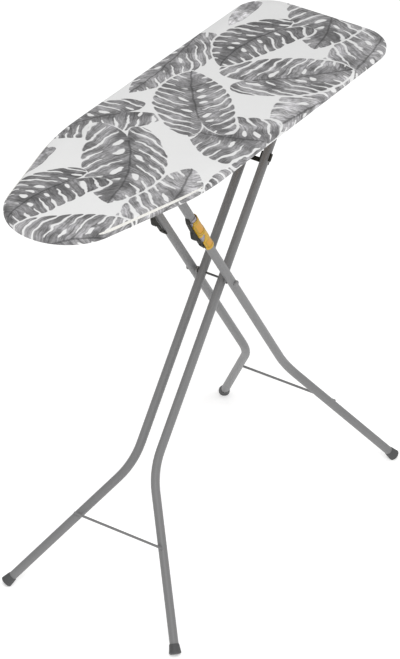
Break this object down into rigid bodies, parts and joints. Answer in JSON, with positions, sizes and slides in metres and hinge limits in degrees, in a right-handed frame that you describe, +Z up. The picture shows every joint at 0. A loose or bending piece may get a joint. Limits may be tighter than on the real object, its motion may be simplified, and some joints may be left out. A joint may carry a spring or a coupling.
{
  "type": "ironing board",
  "caption": "Folding ironing board: padded top with a rounded nose on crossed pairs of splayed tubes, sliding top rod, tail hinge and a release grip.",
  "frame": {"origin": "on the floor under the middle of the whole object's box", "axes": "+X from the nose to the tail of the board, +Y to its left, +Z up"},
  "size_m": [0.944, 0.4024, 0.895],
  "materials": {
    "panel_board": "matt pressed fibreboard",
    "foam": "soft open foam felt",
    "cover_fabric": "printed cotton, grey leaves on white",
    "grey_paint": "satin powder coat",
    "zinc_steel": "zinc plated",
    "bright_rod": "drawn",
    "dark_rod": "blackened",
    "spring_steel": "drawn wire",
    "grey_rubber": "matt moulded",
    "black_plastic": "fine moulded",
    "mauve_plastic": "moulded",
    "yellow_plastic": "moulded, half gloss"
  },
  "bodies": {
    "board": {"board_panel": "panel_board", "foam_pad": "foam", "fabric_cover": "cover_fabric", "hinge_bracket_left": "zinc_steel", "hinge_bracket_right": "zinc_steel", "guide_rail_left": "zinc_steel", "guide_rail_right": "zinc_steel", "catch_strip": "zinc_steel", "panel_screws": "zinc_steel"},
    "inner_legs": {"inner_leg_tube_left": "grey_paint", "inner_leg_tube_right": "grey_paint", "inner_crossbar": "grey_paint", "inner_foot_left": "grey_rubber", "inner_foot_right": "grey_rubber", "inner_top_plugs": "black_plastic", "hinge_axle": "bright_rod", "hinge_axle_caps": "zinc_steel", "leg_spreader": "black_plastic", "pivot_rod": "dark_rod", "pivot_spacers": "grey_paint", "pivot_caps": "grey_paint"},
    "outer_legs": {"outer_leg_tube_left": "grey_paint", "outer_leg_tube_right": "grey_paint", "outer_crossbar": "grey_paint", "outer_foot_left": "grey_rubber", "outer_foot_right": "grey_rubber", "outer_top_plugs": "black_plastic", "slide_rod": "bright_rod", "slide_caps": "black_plastic", "tube_saddle_left": "black_plastic", "tube_saddle_right": "black_plastic", "saddle_rivets": "black_plastic", "spring_stop": "black_plastic", "return_spring": "spring_steel"},
    "release": {"release_grip": "yellow_plastic", "grip_liner": "mauve_plastic", "grip_pin": "bright_rod", "rod_shuttle": "black_plastic", "pull_rod": "bright_rod", "catch_bolt": "bright_rod"}
  },
  "joints": [
    {"name": "leg_fold", "type": "hinge", "parent": "board", "child": "inner_legs", "pos_m": [0.30652, 0, 0.835], "axis": [0, 1, 0], "range_deg": [0, 52.5]},
    {"name": "cross_pivot", "type": "hinge", "parent": "inner_legs", "child": "outer_legs", "pos_m": [0.08897, 0, 0.53], "axis": [0, -1, 0], "range_deg": [0, 105]},
    {"name": "release_slide", "type": "slide", "parent": "outer_legs", "child": "release", "axis": [0.5807, 0, -0.8141], "range_m": [0, 0.01], "stiffness_N_per_m": 600, "springref_m": -0.003}
  ],
  "couplings": [
    {"joint": "cross_pivot", "follows": "leg_fold", "ratio": 2}
  ]
}
